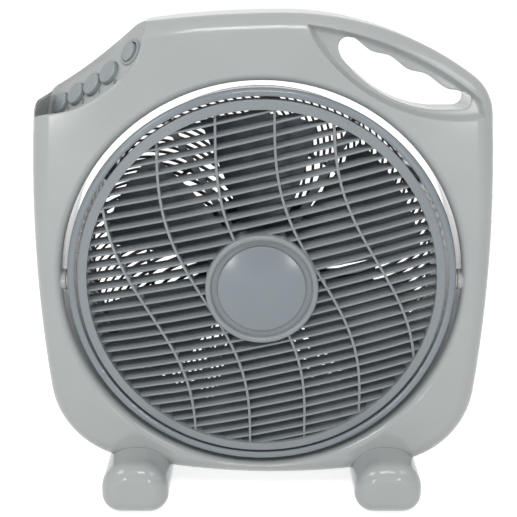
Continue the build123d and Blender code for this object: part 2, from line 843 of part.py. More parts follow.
def drum_shell():
    """Bezel ring, tapering wall, pivot pads, lugs for the spider and bosses for the grille."""
    body = turned(
        ThreePointArc(
            (bezel_bore, bezel_inner_front), (bezel_ridge, bezel_ridge_front),
            (bezel_radius, bezel_edge_depth)),
        Polyline(
            (bezel_radius, bezel_edge_depth), (drum_rear_radius, drum_depth),
            (drum_rear_radius - drum_wall, drum_depth), (drum_radius(spider_back) - drum_wall, spider_back),
            (bezel_bore, spider_back - past), (bezel_bore, bezel_inner_front)),
    )
    lug_outer = drum_radius(spider_back + lug_length) - drum_wall / 2
    lug = Pos((lug_inner + lug_outer) / 2, spider_back + lug_length / 2, 0)
    lug = lug * Box(lug_outer - lug_inner, lug_length, lug_width)
    for angle in arm_angles:
        body += Rot(0, -angle, 0) * lug
    for x, z in grille_screw_places():
        body += rod(grille_boss_radius, drum_depth - grille_boss_length, drum_depth, x, z)
    pad = cross_bar(pivot_boss_radius, bezel_bore + past / 2, pad_outer, pivot_depth, 0)
    body += pad
    body += mirror(pad, about=Plane.YZ)
    pin_hole = cross_bar(
        pivot_pin_radius + running_clearance, bezel_bore + pin_inset, pad_outer + past, pivot_depth, 0)
    body -= pin_hole
    body -= mirror(pin_hole, about=Plane.YZ)
    hole = screw_radius + screw_clearance
    for x, z in arm_ends():
        body -= rod(hole, spider_back - past, spider_back + lug_length - past, x, z)
    for x, z in grille_screw_places():
        body -= rod(hole, drum_depth - grille_boss_length + past, drum_depth + past, x, z)
    return on_axis(body)


def front_spider():
    """Arms and plate that carry the louvre motor behind the louvre."""
    body = rod(spider_hub_radius, spider_front, spider_back)
    start, end = spider_hub_radius - arm_width, spider_screw_circle
    middle = (spider_front + spider_back) / 2
    arm = Pos((start + end) / 2, middle, 0) * Box(end - start, spider_thickness, arm_width)
    arm += rod(arm_ear_radius, spider_front, spider_back, spider_screw_circle)
    for angle in arm_angles:
        body += Rot(0, -angle, 0) * arm
    hole = screw_radius + screw_clearance
    for x, z in arm_ends() + louvre_ears():
        body -= rod(hole, spider_front - past, spider_back + past, x, z)
    return on_axis(body)


def spider_screws():
    """Screws that hold the spider's arms on the drum's lugs."""
    one = forward_head(screw(spider_thickness + lug_length - 2 * past))
    return [on_axis(Pos(x, spider_front, z) * one) for x, z in arm_ends()]


def louvre_ears():
    """Where the louvre motor is screwed on, as (x, z)."""
    return around(2, louvre_ear_place)


def louvre_motor():
    """Small gear motor that turns the louvre."""
    body = rod(louvre_motor_radius, louvre_motor_front, spider_front)
    body = fillet(body.edges().sort_by(Axis.Y)[0], louvre_motor_round)
    ear_front = spider_front - louvre_ear_thickness
    ear_middle = (ear_front + spider_front) / 2
    body += Pos(0, ear_middle, 0) * Box(2 * louvre_ear_place, louvre_ear_thickness, 2 * louvre_ear_radius)
    for x, z in louvre_ears():
        body += rod(louvre_ear_radius, ear_front, spider_front, x, z)
        body -= rod(screw_radius + screw_clearance, ear_front - past, spider_front + past, x, z)
    body -= rod(louvre_shaft_radius + running_clearance, louvre_motor_front - past, louvre_shaft_end + past)
    return on_axis(body)


def louvre_motor_screws():
    """Screws through the louvre motor's ears."""
    one = forward_head(screw(louvre_ear_thickness + spider_thickness))
    seat = spider_front - louvre_ear_thickness
    return [on_axis(Pos(x, seat, z) * one) for x, z in louvre_ears()]


def dome_depth(radius):
    """Depth of the louvre's shallow domed front."""
    return dome_crest + radius**2 / (2 * dome_radius)


def louvre_slat(height):
    """A thin flat slat whose front edge follows the dome in short runs; the hub parts it into two."""
    outer = sqrt(slat_root_outer**2 - height**2)
    spans = [(-outer, outer)]
    if abs(height) < slat_root_inner:
        inner = sqrt(slat_root_inner**2 - height**2)
        spans = [(-outer, -inner), (inner, outer)]
    lean = radians(slat_lean)
    level = Plane(origin=(0, 0, height), x_dir=(1, 0, 0), z_dir=(0, -sin(lean), cos(lean)))
    pieces = []
    for start, end in spans:
        runs = max(slat_runs_least, round((end - start) / slat_run))
        places = [start + (end - start) * i / runs for i in range(runs + 1)]
        front = [(x, dome_depth(hypot(x, height))) for x in places]
        back = [(x, d + slat_depth) for x, d in reversed(front)]
        face = make_face(Polyline(*front, *back, close=True))
        pieces.append(extrude(level * face, amount=slat_thickness / 2, both=True))
    return pieces


def rib_line(place, height):
    """Where a wavy rib stands at a height: a drift plus one sine."""
    return place - rib_drift * height - rib_swing * sin(2 * pi * height / rib_period)


def louvre_rib(place):
    """A wavy rib across the slats, straight from one gap to the next."""
    rows = int(slat_root_outer / slat_pitch) + 1
    heights = [(i + 0.5) * slat_pitch + slat_offset for i in range(-rows - 1, rows + 1)]
    half = rib_thickness / 2
    left = [(rib_line(place, z) - half, z) for z in heights]
    right = [(rib_line(place, z) + half, z) for z in reversed(heights)]
    reach = 3 * slat_depth
    ribbon = make_face(Polyline(*left, *right, close=True))
    strip = extrude(front_view(-reach) * ribbon, amount=2 * reach, dir=(0, 1, 0))
    strip = strip & tube(slat_root_outer, slat_root_inner, -reach, reach)
    front = [(dome_depth(hypot(rib_line(place, z), z)), z) for z in (-rib_sample, 0, rib_sample)]
    back = [(d + slat_depth, z) for d, z in front]
    side = Plane(origin=(place - rib_sample, 0, 0), x_dir=(0, 1, 0), z_dir=(1, 0, 0))
    low, high = arc_through(front), arc_through(back)
    band = make_face([low, Line(low @ 1, high @ 1), high, Line(high @ 0, low @ 0)])
    return strip & extrude(side * band, amount=2 * rib_sample, dir=(1, 0, 0))


def louvre_wheel():
    """Ring, hub, slats and wavy ribs of the turning louvre."""
    rows = int(louvre_ring_inner / slat_pitch)
    pieces = []
    for i in range(-rows, rows + 1):
        pieces += louvre_slat(i * slat_pitch + slat_offset)
    for i in range(-ribs_each_side, ribs_each_side + 1):
        pieces.append(louvre_rib(i * rib_spacing))
    ring = turned(
        (louvre_ring_outer, ring_back), (louvre_ring_outer, ring_front_outer + past),
        (louvre_ring_outer - past, ring_front_outer), (louvre_ring_inner, ring_front_inner),
        (louvre_ring_inner, ring_back))
    rim_inner = hub_radius - hub_rim_width
    rim_base = hub_rim_front + hub_rim_width / 2
    plate_back = hub_plate_front + hub_plate_thickness
    bore = louvre_shaft_radius + press_clearance
    hub = turned(
        ThreePointArc(
            (hub_radius, rim_base), (hub_radius - hub_rim_width / 2, hub_rim_front), (rim_inner, rim_base)),
        Polyline(
            (rim_inner, rim_base), (rim_inner, hub_plate_front), (bore, hub_plate_front),
            (bore, hub_plate_front + hub_boss_length), (hub_boss_radius, hub_plate_front + hub_boss_length),
            (hub_boss_radius, plate_back), (hub_radius - hub_wall, plate_back),
            (hub_radius - hub_wall, hub_back), (hub_radius, hub_back), (hub_radius, rim_base)),
    )
    wheel = ring.fuse(hub, *pieces)
    return on_axis(Rot(0, -louvre_turn, 0) * wheel)


def dome_arc(radius, edge, crest):
    """Arc from a dome's edge to its crest on the axis, centred on the axis."""
    rise = edge - crest
    sphere = (radius**2 + rise**2) / (2 * rise)
    half = radius / 2
    return ThreePointArc((radius, edge), (half, crest + sphere - sqrt(sphere**2 - half**2)), (0, crest))


def hub_cap():
    """Shallow dome that covers the louvre's screw."""
    inner = cap_radius - cap_wall
    profile = make_face([
        Line((cap_radius, hub_plate_front), (cap_radius, cap_edge)),
        dome_arc(cap_radius, cap_edge, cap_crest),
        Line((0, cap_crest), (0, cap_crest + cap_wall)),
        dome_arc(inner, cap_edge + cap_wall, cap_crest + cap_wall),
        Polyline((inner, cap_edge + cap_wall), (inner, hub_plate_front), (cap_radius, hub_plate_front)),
    ])
    profile = rounded(profile, [((cap_radius, cap_edge), cap_edge_round)])
    return on_axis(revolve(profile, Axis.Y))


def louvre_shaft():
    """Output shaft of the louvre motor."""
    thread = rod(screw_radius + screw_clearance, hub_plate_front - past, hub_plate_front + hub_boss_length)
    return on_axis(rod(louvre_shaft_radius, hub_plate_front, louvre_shaft_end) - thread)


def louvre_screw():
    """Screw that holds the louvre on its shaft."""
    one = forward_head(screw(hub_boss_length - past, head=louvre_screw_head))
    return on_axis(Pos(0, hub_plate_front, 0) * one)


def bolt_places():
    """Where the motor's long bolts run, as (x, z)."""
    return around(bolt_count, bolt_circle, full_turn / bolt_count / 2)


def motor_front_bracket():
    """Rounded cup with a nose for the front bearing."""
    cup = rod(motor_radius, front_bracket_face, stator_front)
    cup = fillet(cup.edges().sort_by(Axis.Y)[0], motor_edge_round)
    inside = rod(motor_radius - bracket_wall, front_bracket_face + bracket_wall, stator_front + past)
    inside = fillet(inside.edges().sort_by(Axis.Y)[0], motor_edge_round - bracket_wall)
    body = cup - inside
    nose = front_bracket_face - bearing_nose
    body += rod(bearing_housing_radius, nose, nose + bearing_length)
    body -= rod(bearing_radius + press_clearance, nose - past, nose + bearing_length + past)
    for x, z in bolt_places():
        body -= rod(bolt_radius + screw_clearance, nose, stator_front, x, z)
    return on_axis(body)


def motor_rear_bracket():
    """Cup on the rear grille with the rear bearing."""
    body = rod(motor_radius, stator_back, drum_depth)
    body -= rod(motor_radius - bracket_wall, stator_back - past, drum_depth - bracket_wall)
    body += rod(bearing_housing_radius, drum_depth - bearing_length, drum_depth)
    body -= rod(bearing_radius + press_clearance, stator_back, drum_depth + past)
    for x, z in bolt_places():
        body -= rod(bolt_radius + screw_clearance, stator_back, drum_depth + past, x, z)
    return on_axis(body)


def bearing(start):
    """A plain bearing bush."""
    return on_axis(tube(bearing_radius, shaft_radius + running_clearance, start, start + bearing_length))


def stator_core():
    """Stack of laminations with the bolt holes through it."""
    body = tube(stator_radius, stator_bore, stator_front, stator_back)
    for x, z in bolt_places():
        body -= rod(bolt_radius + screw_clearance, stator_front - past, stator_back + past, x, z)
    return on_axis(body)


def stator_windings():
    """Rounded coil heads in front of and behind the core."""
    heads = []
    for start in (stator_front - winding_length, stator_back):
        head = tube(winding_outer, winding_inner, start, start + winding_length)
        heads.append(on_axis(fillet(head.edges(), winding_round)))
    return heads


def motor_bolts():
    """Four long bolts through the motor into the rear grille."""
    length = drum_depth + grille_thickness / 2 - front_bracket_face
    one = forward_head(screw(length, bolt_radius))
    return [on_axis(Pos(x, front_bracket_face, z) * one) for x, z in bolt_places()]


def motor_shaft():
    """Fan shaft with a cross hole for the drive pin."""
    body = rod(shaft_radius, shaft_front, shaft_back)
    body = chamfer(body.edges(), shaft_radius / 8)
    pin_hole = cross_bar(drive_pin_radius + press_clearance, -nut_radius, nut_radius, drive_pin_depth, 0)
    return on_axis(body - pin_hole)


def rotor():
    """Squirrel-cage rotor on the shaft."""
    return on_axis(tube(rotor_radius, shaft_radius + press_clearance, stator_front, stator_back))


def drive_pin():
    """Cross pin that drives the impeller."""
    return on_axis(cross_bar(drive_pin_radius, -drive_pin_reach, drive_pin_reach, drive_pin_depth, 0))


def impeller_nut():
    """Rounded cap nut on the shaft's end."""
    body = rod(nut_radius, nut_front, impeller_front)
    body = fillet(body.edges().sort_by(Axis.Y)[0], nut_edge)
    return on_axis(body - rod(shaft_radius + press_clearance, shaft_front, impeller_front + past))


def fan_blade():
    """One blade lofted through three cambered sections, with a round tip."""
    sections = []
    for out, chord, pitch, depth, sweep in (blade_root, blade_middle, blade_end):
        turn = radians(pitch)
        place = Plane(origin=(out, depth, sweep), x_dir=(0, sin(turn), cos(turn)), z_dir=(1, 0, 0))
        half, rise = chord / 2, chord * blade_camber
        edge = blade_thickness / 4
        upper = ThreePointArc((-half, edge), (0, rise + blade_thickness / 2), (half, edge))
        lower = ThreePointArc((half, -edge), (0, rise - blade_thickness / 2), (-half, -edge))
        ends = [Line(upper @ 1, lower @ 0), Line(lower @ 1, upper @ 0)]
        sections.append(place * make_face([upper, lower] + ends))
    return loft(sections) & rod(blade_tip, 0, drum_depth)


def impeller():
    """Blades on a shallow cup that bears on the drive pin."""
    body = rod(impeller_hub_radius, impeller_front, impeller_back)
    body = fillet(body.edges().sort_by(Axis.Y)[0], impeller_hub_edge)
    body -= rod(
        impeller_hub_radius - impeller_hub_wall, impeller_front + impeller_hub_wall, impeller_back + past)
    body += rod(impeller_boss_radius, impeller_front, impeller_boss_back)
    blade = fan_blade()
    turns = [-blade_first - i * full_turn / blade_count for i in range(blade_count)]
    body = body.fuse(*[Rot(0, turn, 0) * blade for turn in turns])
    body -= rod(shaft_radius + press_clearance, impeller_front - past, impeller_back + past)
    reach = drive_pin_reach + press_clearance
    body -= cross_bar(drive_pin_radius + press_clearance, -reach, reach, drive_pin_depth, 0)
    return on_axis(body)


def spiral_slot(inner, outer, reach, count, lean, index):
    """Outline of one slot between two leaning ribs; it may stop short of its ring's edge."""
    def corner(radius, side):
        share = (radius - inner) / (outer - inner)
        turn = 2 * pi * index / count + radians(lean) * share**slot_curve
        turn += side * (pi / count - grille_rib / (2 * radius))
        return radius * cos(turn), radius * sin(turn)
    middle = (inner + reach) / 2
    return Wire([
        ThreePointArc(corner(inner, -1), corner(inner, 0), corner(inner, 1)),
        ThreePointArc(corner(inner, 1), corner(middle, 1), corner(reach, 1)),
        ThreePointArc(corner(reach, 1), corner(reach, 0), corner(reach, -1)),
        ThreePointArc(corner(reach, -1), corner(middle, -1), corner(inner, -1)),
    ])


def near_screw(turn):
    """Whether a slot that ends at this many degrees would run into a grille screw."""
    step = full_turn / grille_screw_count
    away = (turn - grille_screw_first + step / 2) % step - step / 2
    return abs(radians(away)) * grille_screw_circle < grille_screw_land


def rear_grille():
    """Disc with two rings of leaning slots; its middle carries the motor."""
    slots = []
    for inner, outer, count, lean in grille_zones:
        for i in range(count):
            reach = outer
            if near_screw(i * full_turn / count + lean):
                reach = min(outer, grille_screw_circle - grille_screw_land)
            slots.append(spiral_slot(inner, outer, reach, count, lean, i))
    face = Face(Wire([CenterArc((0, 0), drum_rear_radius, 0, full_turn)]), slots)
    body = extrude(front_view(drum_depth) * face, amount=grille_thickness, dir=(0, 1, 0))
    hole = screw_radius + screw_clearance
    for x, z in grille_screw_places():
        body -= rod(hole, drum_depth - past, grille_back + past, x, z)
    for x, z in bolt_places():
        body -= rod(bolt_radius + screw_clearance, drum_depth - past, grille_back - past, x, z)
    for x, z in cover_screw_places():
        body -= rod(hole, drum_depth + past, grille_back + past, x, z)
    return on_axis(body)


def grille_screws():
    """Screws that hold the rear grille on the drum."""
    one = screw(grille_thickness + grille_boss_length - 2 * past)
    return [on_axis(Pos(x, grille_back, z) * one) for x, z in grille_screw_places()]


def cover_screw_places():
    """Where the motor cover is screwed on, as (x, z)."""
    return around(cover_screw_count, cover_screw_circle, cover_screw_first)


def rear_motor_cover():
    """Vented round cover over the motor's back."""
    back = grille_back + cover_rise
    body = rod(cover_radius, grille_back, back)
    body = fillet(body.edges().sort_by(Axis.Y)[-1], cover_round)
    inside = rod(cover_radius - cover_wall, grille_back - past, back - cover_wall)
    body -= fillet(inside.edges().sort_by(Axis.Y)[-1], cover_round - cover_wall)
    for x, z in cover_screw_places():
        body += rod(cover_post_radius, grille_back, back - cover_wall / 2, x, z)
        body -= rod(screw_radius + screw_clearance, grille_back - past, back + past, x, z)
        body -= rod(screw_head_radius + head_clearance, cover_screw_seat, back + past, x, z)
    slot = Pos((vent_inner + vent_outer) / 2, back, 0)
    slot = slot * Box(vent_outer - vent_inner, 3 * cover_wall, vent_width)
    for i in range(vent_count):
        body -= Rot(0, i * full_turn / vent_count, 0) * slot
    return on_axis(body)


def cover_screws():
    """Screws that hold the motor cover."""
    one = screw(cover_screw_seat - drum_depth - 2 * past)
    return [on_axis(Pos(x, cover_screw_seat, z) * one) for x, z in cover_screw_places()]


front_frame, rear_frame = frame_shells()
right_pin = pivot_pin()
nodes = {
    "front_frame": front_frame,
    "rear_frame": rear_frame,
    "frame_screws": frame_screws(),
    "foot_left": foot(-1),
    "foot_right": foot(1),
    "foot_pads": foot_pads(),
    "foot_screws": foot_screws(),
    "pivot_pin_left": mirror(right_pin, about=Plane.YZ),
    "pivot_pin_right": right_pin,
    "pivot_washers": pivot_ring(washer_radius, pad_outer + seat_gap, washer_thickness),
    "pivot_push_nuts": pivot_ring(push_nut_radius, boss_outer, push_nut_thickness),
    "push_switch_block": switch_block(),
    "switch_block_screws": switch_screws(),
    "speed_button_0": speed_button(0),
    "speed_button_1": speed_button(1),
    "speed_button_2": speed_button(2),
    "speed_button_3": speed_button(3),
    "louvre_switch_body": rocker_body(),
    "louvre_switch_rocker": rocker(),
    "run_capacitor": run_capacitor(),
    "cord_gland": cord_gland(),
    "drum_shell": drum_shell(),
    "front_spider": front_spider(),
    "spider_screws": spider_screws(),
    "louvre_motor": louvre_motor(),
    "louvre_motor_screws": louvre_motor_screws(),
    "motor_front_bracket": motor_front_bracket(),
    "motor_rear_bracket": motor_rear_bracket(),
    "front_bearing": bearing(front_bracket_face - bearing_nose),
    "rear_bearing": bearing(drum_depth - bearing_length),
    "stator_core": stator_core(),
    "stator_windings": stator_windings(),
    "motor_bolts": motor_bolts(),
    "rear_grille": rear_grille(),
    "grille_screws": grille_screws(),
    "rear_motor_cover": rear_motor_cover(),
    "cover_screws": cover_screws(),
    "motor_shaft": motor_shaft(),
    "rotor": rotor(),
    "impeller": impeller(),
    "drive_pin": drive_pin(),
    "impeller_nut": impeller_nut(),
    "louvre_wheel": louvre_wheel(),
    "hub_cap": hub_cap(),
    "louvre_shaft": louvre_shaft(),
    "louvre_screw": louvre_screw(),
}

os.makedirs("parts", exist_ok=True)
for name, shape in nodes.items():
    solids = shape if isinstance(shape, list) else [shape]
    solids = [solid for piece in solids for solid in piece.solids()]
    export_step(Compound(children=solids), f"parts/{name}.step")
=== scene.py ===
import json
import math

import bpy
import numpy as np
from mathutils import Matrix


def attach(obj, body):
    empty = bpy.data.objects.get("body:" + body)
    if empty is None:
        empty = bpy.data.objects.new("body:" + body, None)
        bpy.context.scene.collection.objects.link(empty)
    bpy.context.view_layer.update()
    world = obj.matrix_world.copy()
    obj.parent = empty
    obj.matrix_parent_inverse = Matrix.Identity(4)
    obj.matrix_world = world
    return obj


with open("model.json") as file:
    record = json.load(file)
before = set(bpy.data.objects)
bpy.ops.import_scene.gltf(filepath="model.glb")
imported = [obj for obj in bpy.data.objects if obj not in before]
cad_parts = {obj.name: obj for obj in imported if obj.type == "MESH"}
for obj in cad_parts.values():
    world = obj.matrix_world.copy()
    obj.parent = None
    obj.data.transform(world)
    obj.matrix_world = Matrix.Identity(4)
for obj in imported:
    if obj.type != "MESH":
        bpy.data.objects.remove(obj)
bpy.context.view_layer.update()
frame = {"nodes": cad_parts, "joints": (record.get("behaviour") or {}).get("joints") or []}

nodes = frame["nodes"]
scene = bpy.context.scene
scene.view_settings.view_transform = "Standard"


# Mesh helpers

def grid_mesh(name, points):
    """A surface from a grid of points (rows, columns, 3): each cell of the grid is one quad."""
    rows, columns = points.shape[:2]
    index = np.arange(rows * columns).reshape(rows, columns)
    quads = np.stack([index[:-1, :-1], index[:-1, 1:], index[1:, 1:], index[1:, :-1]], axis=-1).reshape(-1, 4)
    mesh = bpy.data.meshes.new(name)
    mesh.from_pydata(points.reshape(-1, 3).tolist(), [], quads.tolist())
    mesh.update()
    piece = bpy.data.objects.new(name, mesh)
    scene.collection.objects.link(piece)
    return piece


def node_points(name):
    """The corner points of a CAD node, as an array."""
    mesh = nodes[name].data
    points = np.empty(len(mesh.vertices) * 3, np.float32)
    mesh.vertices.foreach_get("co", points)
    return points.reshape(-1, 3).astype(float)


# Shader helpers

def new_group(name, inputs, outputs):
    """A shader node group; returns it with its input and output sockets."""
    tree = bpy.data.node_groups.new(name, "ShaderNodeTree")
    for title, kind, value in inputs:
        tree.interface.new_socket(title, in_out="INPUT", socket_type=kind).default_value = value
    for title, kind in outputs:
        tree.interface.new_socket(title, in_out="OUTPUT", socket_type=kind)
    return tree, tree.nodes.new("NodeGroupInput").outputs, tree.nodes.new("NodeGroupOutput").inputs


def put(tree, kind, settings=None, **links):
    """Adds a node; a link is a socket to join or a value to set, by the socket's name or number."""
    made = tree.nodes.new(kind)
    for title, value in (settings or {}).items():
        setattr(made, title, value)
    for title, value in links.items():
        numbered = title[0] == "_" and title[1:].isdigit()
        socket = made.inputs[int(title[1:]) if numbered else title.replace("_", " ")]
        if isinstance(value, bpy.types.NodeSocket):
            tree.links.new(value, socket)
        else:
            socket.default_value = value
    return made


def math_of(tree, operation, first, second=0.0, clamp=False):
    """One sum on two values."""
    settings = {"operation": operation, "use_clamp": clamp}
    return put(tree, "ShaderNodeMath", settings, _0=first, _1=second).outputs[0]


def blend_of(tree, factor, first, second):
    """A mix of two colours."""
    made = put(tree, "ShaderNodeMix", {"data_type": "RGBA"}, _0=factor, _6=first, _7=second)
    return made.outputs[2]


def spread_of(tree, value, low, high):
    """A value from 0 to 1 carried to another range."""
    return put(tree, "ShaderNodeMapRange", None, Value=value, To_Min=low, To_Max=high).outputs[0]


def place_of(tree, scale=(1.0, 1.0, 1.0)):
    """Object coordinates, stretched."""
    spot = tree.nodes.new("ShaderNodeTexCoord").outputs["Object"]
    return put(tree, "ShaderNodeMapping", None, Vector=spot, Scale=scale).outputs[0]


def noise_of(tree, where, scale, detail=2.0, roughness=0.5):
    """Cloudy noise from 0 to 1."""
    made = put(tree, "ShaderNodeTexNoise", None, Vector=where, Scale=scale, Detail=detail,
               Roughness=roughness)
    return made.outputs[0]


def facing_of(tree):
    """The way that a face looks, before any rounding or bump."""
    return tree.nodes.new("ShaderNodeNewGeometry").outputs["Normal"]


def seen_of(tree):
    """1 for rays straight from the camera, or by way of a mirror or a clear piece; 0 for lighting rays."""
    path = tree.nodes.new("ShaderNodeLightPath").outputs
    bent = math_of(tree, "MAXIMUM", path["Is Glossy Ray"], path["Is Transmission Ray"])
    return math_of(tree, "MAXIMUM", path["Is Camera Ray"], bent)


# Effects shared by the finishes

def make_moulded_skin():
    """Moulded plastic: slow colour mottling, a cloudy gloss and a fine pebble."""
    tree, given, result = new_group(
        "moulded_skin",
        [("Base", "NodeSocketColor", (0.5, 0.5, 0.5, 1)),
         ("Drift", "NodeSocketColor", (0.45, 0.45, 0.45, 1)),
         ("Mottle", "NodeSocketFloat", 14.0),
         ("Pebble", "NodeSocketFloat", 1800.0)],
        [("Color", "NodeSocketColor"), ("Haze", "NodeSocketFloat"), ("Grain", "NodeSocketFloat")])
    where = place_of(tree)
    cloud = noise_of(tree, where, given["Mottle"], 3.0)
    cloud = put(tree, "ShaderNodeMapRange", {"interpolation_type": "SMOOTHSTEP"}, Value=cloud,
                From_Min=0.3, From_Max=0.7).outputs[0]
    tree.links.new(blend_of(tree, cloud, given["Base"], given["Drift"]), result["Color"])
    haze = noise_of(tree, where, math_of(tree, "MULTIPLY", given["Mottle"], 7.0), 4.0)
    tree.links.new(haze, result["Haze"])
    fine = noise_of(tree, where, given["Pebble"], 2.0)
    wave = noise_of(tree, where, math_of(tree, "MULTIPLY", given["Pebble"], 0.05), 1.0)
    tree.links.new(math_of(tree, "ADD", math_of(tree, "MULTIPLY", fine, 0.5), wave), result["Grain"])
    return tree


def make_soft_edges():
    """Rounds the shading at edges, and marks the edges that hands and cloths rub."""
    tree, given, result = new_group(
        "soft_edges",
        [("Radius", "NodeSocketFloat", 0.001)],
        [("Normal", "NodeSocketVector"), ("Rub", "NodeSocketFloat")])
    bevel = put(tree, "ShaderNodeBevel", {"samples": 6}, Radius=given["Radius"])
    tree.links.new(bevel.outputs[0], result["Normal"])
    settings = {"operation": "DOT_PRODUCT"}
    agree = put(tree, "ShaderNodeVectorMath", settings, _0=bevel.outputs[0], _1=facing_of(tree))
    turn = math_of(tree, "MULTIPLY", math_of(tree, "SUBTRACT", 1.0, agree.outputs["Value"], True), 4.0, True)
    patch = noise_of(tree, place_of(tree), 160.0, 3.0)
    patch = put(tree, "ShaderNodeMapRange", None, Value=patch, From_Min=0.35, From_Max=0.7).outputs[0]
    tree.links.new(math_of(tree, "MULTIPLY", turn, patch), result["Rub"])
    return tree


def make_settled_dust():
    """Dust: thin on every face that looks up, thicker in patches."""
    tree, given, result = new_group(
        "settled_dust",
        [("Amount", "NodeSocketFloat", 0.2), ("Patch", "NodeSocketFloat", 40.0)],
        [("Dust", "NodeSocketFloat")])
    rise = put(tree, "ShaderNodeSeparateXYZ", None, Vector=facing_of(tree)).outputs[2]
    up = put(tree, "ShaderNodeMapRange", {"interpolation_type": "SMOOTHSTEP"}, Value=rise,
             From_Min=0.35, From_Max=1.0).outputs[0]
    patch = noise_of(tree, place_of(tree), given["Patch"], 5.0, 0.65)
    layer = math_of(tree, "MULTIPLY", math_of(tree, "MULTIPLY", up, patch), given["Amount"], True)
    tree.links.new(layer, result["Dust"])
    return tree


def make_tool_marks():
    """Metal: long scratches along one way, a cloudy bloom and a little staining."""
    tree, given, result = new_group(
        "tool_marks",
        [("Clean", "NodeSocketColor", (0.6, 0.6, 0.6, 1)), ("Stained", "NodeSocketColor", (0.4, 0.4, 0.4, 1)),
         ("Fineness", "NodeSocketFloat", 900.0)],
        [("Color", "NodeSocketColor"), ("Haze", "NodeSocketFloat"), ("Grain", "NodeSocketFloat")])
    streak = noise_of(tree, place_of(tree, (0.15, 1.0, 0.15)), given["Fineness"], 3.0)
    cloud = noise_of(tree, place_of(tree), 90.0, 4.0)
    tree.links.new(blend_of(tree, cloud, given["Clean"], given["Stained"]), result["Color"])
    tree.links.new(math_of(tree, "MULTIPLY", math_of(tree, "ADD", streak, cloud), 0.5), result["Haze"])
    tree.links.new(streak, result["Grain"])
    return tree


moulded_skin = make_moulded_skin()
soft_edges = make_soft_edges()
settled_dust = make_settled_dust()
tool_marks = make_tool_marks()
dust_colour = (0.46, 0.44, 0.41, 1)
dust_dulling = 0.35                    # roughness that a full layer of dust adds
rubbed_colour = (0.74, 0.75, 0.75, 1)
rubbed_share = 0.18                    # how far a rubbed edge turns to that colour
grain_depth = 0.0004


def blank_finish(name):
    """A new material; returns it with its tree and its shader."""
    finish = bpy.data.materials.new(name)
    finish.use_nodes = True
    return finish, finish.node_tree, finish.node_tree.nodes["Principled BSDF"]


def group_in(tree, group, **values):
    """Places a shared effect in a material."""
    return put(tree, "ShaderNodeGroup", {"node_tree": group}, **values).outputs


def close_finish(tree, shader, colour, haze, gloss, grain, bump, edge, dust):
    """Joins colour, dust, edge rub, gloss range and bump to a shader."""
    edges = group_in(tree, soft_edges, Radius=edge)
    colour = blend_of(tree, math_of(tree, "MULTIPLY", edges["Rub"], rubbed_share), colour, rubbed_colour)
    film = group_in(tree, settled_dust, Amount=dust)["Dust"]
    tree.links.new(blend_of(tree, film, colour, dust_colour), shader.inputs["Base Color"])
    dulled = math_of(tree, "MULTIPLY", film, dust_dulling)
    rough = math_of(tree, "ADD", spread_of(tree, haze, *gloss), dulled, True)
    tree.links.new(rough, shader.inputs["Roughness"])
    raised = put(tree, "ShaderNodeBump", None, Strength=bump, Distance=grain_depth, Height=grain,
                 Normal=edges["Normal"])
    tree.links.new(raised.outputs[0], shader.inputs["Normal"])


def plastic(name, base, drift, gloss, edge=0.0006, bump=0.06, dust=0.2, mottle=14.0, pebble=1800.0):
    """A moulded plastic finish."""
    finish, tree, shader = blank_finish(name)
    skin = group_in(tree, moulded_skin, Base=(*base, 1), Drift=(*drift, 1), Mottle=mottle, Pebble=pebble)
    close_finish(tree, shader, skin["Color"], skin["Haze"], gloss, skin["Grain"], bump, edge, dust)
    shader.inputs["IOR"].default_value = 1.5
    return finish


def metal(name, clean, stained, gloss, fineness=900.0, edge=0.0003, bump=0.08, dust=0.15):
    """A bare or plated metal finish."""
    finish, tree, shader = blank_finish(name)
    marks = group_in(tree, tool_marks, Clean=(*clean, 1), Stained=(*stained, 1), Fineness=fineness)
    close_finish(tree, shader, marks["Color"], marks["Haze"], gloss, marks["Grain"], bump, edge, dust)
    shader.inputs["Metallic"].default_value = 1.0
    return finish


def layered_metal(name, clean, stained, gloss, pitch, along, bump):
    """Metal made up of turns or sheets: a wave along one axis darkens and dents every joint."""
    finish, tree, shader = blank_finish(name)
    marks = group_in(tree, tool_marks, Clean=(*clean, 1), Stained=(*stained, 1), Fineness=900.0)
    wave = put(tree, "ShaderNodeTexWave", {"bands_direction": along, "wave_profile": "SIN"},
               Vector=place_of(tree), Scale=math.pi / 10 / pitch, Distortion=0.4,
               Detail_Scale=40.0).outputs[1]
    joint = math_of(tree, "POWER", math_of(tree, "SUBTRACT", 1.0, wave, True), 4.0)
    colour = blend_of(tree, joint, marks["Color"], tuple(0.35 * c for c in stained) + (1,))
    height = math_of(tree, "SUBTRACT", marks["Grain"], math_of(tree, "MULTIPLY", joint, 3.0))
    close_finish(tree, shader, colour, marks["Haze"], gloss, height, bump, 0.0003, 0.1)
    shader.inputs["Metallic"].default_value = 1.0
    return finish


# Finishes

frame_plastic = plastic("frame_plastic", (0.425, 0.445, 0.442), (0.405, 0.424, 0.422),
                        (0.09, 0.16), edge=0.0030, bump=0.025, dust=0.08)
button_plastic = plastic("button_plastic", (0.30, 0.335, 0.345), (0.28, 0.315, 0.325),
                         (0.22, 0.32), edge=0.0007, dust=0.10)
drum_plastic = plastic("drum_plastic", (0.235, 0.268, 0.292), (0.222, 0.254, 0.278),
                       (0.12, 0.20), edge=0.0006, bump=0.03, dust=0.08)
louvre_plastic = plastic("louvre_plastic", (0.262, 0.288, 0.305), (0.247, 0.273, 0.290),
                         (0.24, 0.34), edge=0.0005, bump=0.04, dust=0.22)
spider_plastic = plastic("spider_plastic", (0.16, 0.18, 0.19), (0.14, 0.16, 0.17),
                         (0.40, 0.55), dust=0.30)
blade_plastic = plastic("blade_plastic", (0.105, 0.122, 0.142), (0.092, 0.108, 0.128),
                        (0.28, 0.40), dust=0.18)
